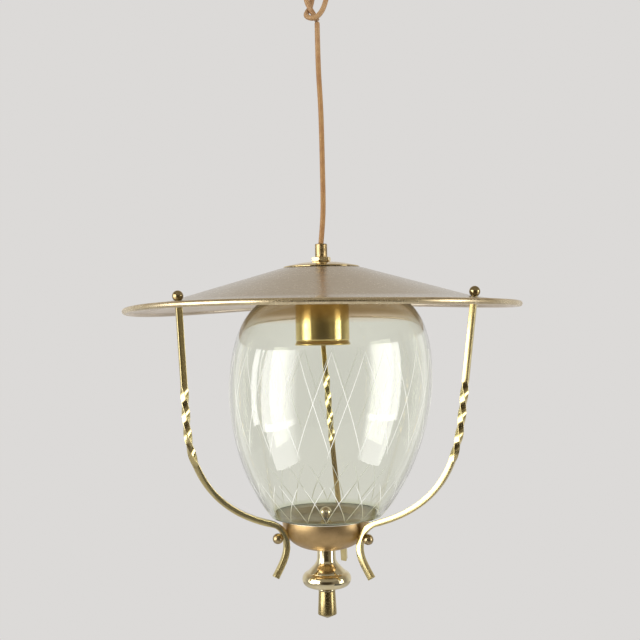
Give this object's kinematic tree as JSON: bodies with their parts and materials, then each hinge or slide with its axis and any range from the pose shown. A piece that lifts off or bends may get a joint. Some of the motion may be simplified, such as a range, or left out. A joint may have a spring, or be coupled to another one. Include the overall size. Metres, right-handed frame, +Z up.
{
  "type": "ceiling lamp",
  "caption": "Pendant lantern on a cord: a flat conical metal hat, twisted square brass arms, a cut clear glass urn, a brass cup and a turned finial.",
  "frame": {"origin": "seat of the cord's loop, where it hangs on its hook", "axes": "+Z up along the lamp's axis, +X to the right as pictured, +Y away from the viewer"},
  "size_m": [0.34, 0.34, 0.5625],
  "materials": {
    "cord": "smooth golden-brown sheath with a soft sheen",
    "bush": "plain moulded",
    "polished_brass": "polished, slightly aged",
    "dull_brass": "satin, tarnished",
    "satin_copper": "satin spun, copper-gold",
    "lacquer": "glossy brown-gold lacquer",
    "porcelain": "white glaze",
    "steel": "plain",
    "glass": "clear, faintly green, with cut lines",
    "seat_ring": "dark thin seal",
    "wire": "thin brown insulation"
  },
  "bodies": {
    "hanging_knot": {"cord_knot": "cord"},
    "cord_run": {"cord": "cord"},
    "grip_core": {"grip_bush": "bush", "cord_tail": "cord"},
    "lamp": {"cord_grip": "polished_brass", "top_nut": "polished_brass", "crown_disc": "polished_brass", "hat": "lacquer", "lock_washer": "steel", "lock_nut": "polished_brass", "holder_sleeve": "polished_brass", "holder_cap": "dull_brass", "holder_body": "porcelain", "screw_shell": "dull_brass", "centre_contact": "dull_brass", "terminal_screws": "steel", "conductors": "wire", "arm_rear": "polished_brass", "arm_left": "polished_brass", "arm_right": "polished_brass", "foot_screws": "dull_brass", "foot_nuts": "steel", "glass": "glass", "seat_ring": "seat_ring", "cup": "satin_copper", "rod": "steel", "rod_ball_nut": "dull_brass", "rod_washer": "dull_brass", "finial_body": "polished_brass"},
    "nut_rear": {"ball_nut_rear": "dull_brass"},
    "nut_left": {"ball_nut_left": "dull_brass"},
    "nut_right": {"ball_nut_right": "dull_brass"},
    "knob": {"finial_knob": "dull_brass"}
  },
  "joints": [
    {"name": "swing_side", "type": "hinge", "parent": "hanging_knot", "child": "cord_run", "pos_m": [0, 0, -0.043], "axis": [0, 1, 0], "range_deg": [-12, 12]},
    {"name": "swing_front", "type": "hinge", "parent": "cord_run", "child": "grip_core", "pos_m": [0, 0, -0.234], "axis": [1, 0, 0], "range_deg": [-12, 12]},
    {"name": "cord_twist", "type": "hinge", "parent": "grip_core", "child": "lamp", "pos_m": [0, 0, -0.234], "axis": [0, 0, 1], "range_deg": [-180, 180]},
    {"name": "nut_rear_off", "type": "slide", "parent": "lamp", "child": "nut_rear", "axis": [-0.002, 0.1132, 0.9936], "range_m": [0, 0.005]},
    {"name": "nut_left_off", "type": "slide", "parent": "lamp", "child": "nut_left", "axis": [-0.0944, -0.0625, 0.9936], "range_m": [0, 0.005]},
    {"name": "nut_right_off", "type": "slide", "parent": "lamp", "child": "nut_right", "axis": [0.1017, -0.0496, 0.9936], "range_m": [0, 0.005]},
    {"name": "knob_turn", "type": "hinge", "parent": "lamp", "child": "knob", "pos_m": [0, 0, -0.54], "axis": [0, 0, 1], "range_deg": [-180, 180]}
  ]
}
